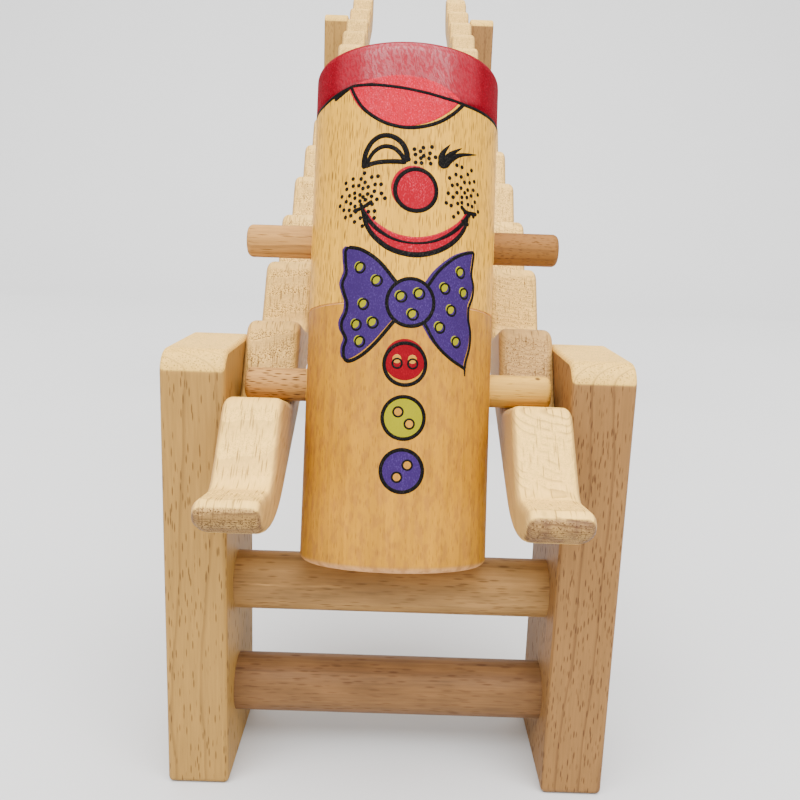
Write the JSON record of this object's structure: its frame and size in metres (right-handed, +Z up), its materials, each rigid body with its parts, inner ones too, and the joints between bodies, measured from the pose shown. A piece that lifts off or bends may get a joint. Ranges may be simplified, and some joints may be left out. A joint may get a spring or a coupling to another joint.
{
  "type": "wooden tumbling clown toy",
  "caption": "Wooden clown body with arm and leg pegs that tumbles end over end down a pair of notched rails on a sloping stand of posts and round crossbars.",
  "frame": {"origin": "centre of the base on the surface that the four posts stand on", "axes": "+Z up, +Y up the track towards the tall rear posts, +X to the right as seen from the low front end"},
  "size_m": [0.11, 0.5027, 0.2989],
  "materials": {
    "left_rail": "satin",
    "right_rail": "satin",
    "front_left_post": "satin",
    "front_right_post": "satin",
    "rear_left_post": "satin",
    "rear_right_post": "satin",
    "front_left_rail_pins": "satin",
    "front_right_rail_pins": "satin",
    "rear_left_rail_pins": "satin",
    "rear_right_rail_pins": "satin",
    "front_lower_crossbar": "satin",
    "front_upper_crossbar": "satin",
    "rear_lower_crossbar": "satin",
    "rear_upper_crossbar": "satin",
    "body_upper_half": "satin",
    "body_lower_half": "satin",
    "left_arm_peg": "satin",
    "right_arm_peg": "satin",
    "left_leg_peg": "satin",
    "right_leg_peg": "satin",
    "steel_ball": "polished"
  },
  "bodies": {
    "stand": {"left_rail": "left_rail", "right_rail": "right_rail", "front_left_post": "front_left_post", "front_right_post": "front_right_post", "rear_left_post": "rear_left_post", "rear_right_post": "rear_right_post", "front_left_rail_pins": "front_left_rail_pins", "front_right_rail_pins": "front_right_rail_pins", "rear_left_rail_pins": "rear_left_rail_pins", "rear_right_rail_pins": "rear_right_rail_pins", "front_lower_crossbar": "front_lower_crossbar", "front_upper_crossbar": "front_upper_crossbar", "rear_lower_crossbar": "rear_lower_crossbar", "rear_upper_crossbar": "rear_upper_crossbar"},
    "clown": {"body_upper_half": "body_upper_half", "body_lower_half": "body_lower_half", "left_arm_peg": "left_arm_peg", "right_arm_peg": "right_arm_peg", "left_leg_peg": "left_leg_peg", "right_leg_peg": "right_leg_peg"},
    "ball": {"steel_ball": "steel_ball"}
  },
  "joints": [
    {"name": "clown_swing", "type": "hinge", "parent": "stand", "child": "clown", "pos_m": [0, -0.20278, 0.10121], "axis": [1, 0, 0], "range_deg": [0, 31.1]},
    {"name": "ball_run", "type": "slide", "parent": "clown", "child": "ball", "axis": [0, 0.2532, 0.9674], "range_m": [0, 0.0778]}
  ]
}
